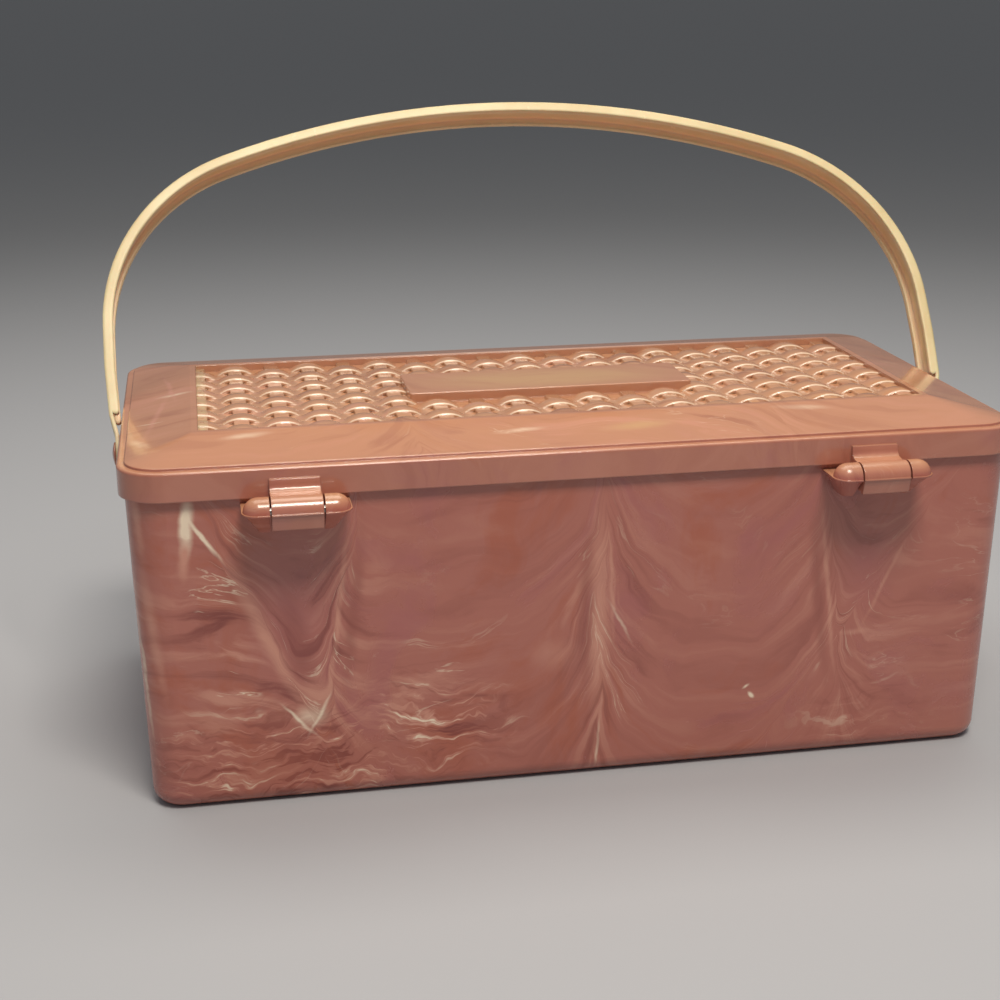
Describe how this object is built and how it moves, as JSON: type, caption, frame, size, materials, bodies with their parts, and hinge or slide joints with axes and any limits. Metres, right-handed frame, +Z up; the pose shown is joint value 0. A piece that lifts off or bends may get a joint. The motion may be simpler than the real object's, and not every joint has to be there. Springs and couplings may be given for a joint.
{
  "type": "sewing caddy",
  "caption": "Moulded plastic sewing caddy: woven-topped hinged lid, swinging bail handle, snap clasp and a lift-out tray with bins and spool pegs.",
  "frame": {"origin": "middle of the underside, on the surface that the caddy stands on", "axes": "+X along the length to the right seen from the hinge side, +Y from the hinge side to the clasp side, +Z up"},
  "size_m": [0.342, 0.1952, 0.2368],
  "materials": {
    "marbled_plastic": "glossy injection-moulded plastic with mauve, tan and cream swirls",
    "cream_plastic": "cream moulded plastic, slightly glossy",
    "steel_pin": "plain drawn steel",
    "tray_plastic": "ivory moulded plastic, satin"
  },
  "bodies": {
    "box": {"box_body": "marbled_plastic", "hinge_pin_left": "steel_pin", "hinge_pin_right": "steel_pin", "clasp_pin": "steel_pin"},
    "lid": {"lid": "marbled_plastic", "handle_stud_left": "marbled_plastic", "handle_stud_right": "marbled_plastic"},
    "handle": {"handle": "cream_plastic"},
    "clasp": {"clasp": "marbled_plastic"},
    "tray": {"lift_out_tray": "tray_plastic"}
  },
  "joints": [
    {"name": "lid_open", "type": "hinge", "parent": "box", "child": "lid", "pos_m": [0, -0.092, 0.1166], "axis": [1, 0, 0], "range_deg": [0, 100]},
    {"name": "handle_swing", "type": "hinge", "parent": "lid", "child": "handle", "pos_m": [0, 0, 0.1135], "axis": [1, 0, 0], "range_deg": [-35, 105]},
    {"name": "clasp_swing", "type": "hinge", "parent": "box", "child": "clasp", "pos_m": [0, 0.092, 0.1166], "axis": [-1, 0, 0], "range_deg": [0, 100]},
    {"name": "tray_lift", "type": "slide", "parent": "box", "child": "tray", "axis": [0, 0, 1], "range_m": [0, 0.062]}
  ],
  "couplings": [
    {"joint": "tray_lift", "follows": "lid_open", "m_per_rad": 0.035}
  ]
}
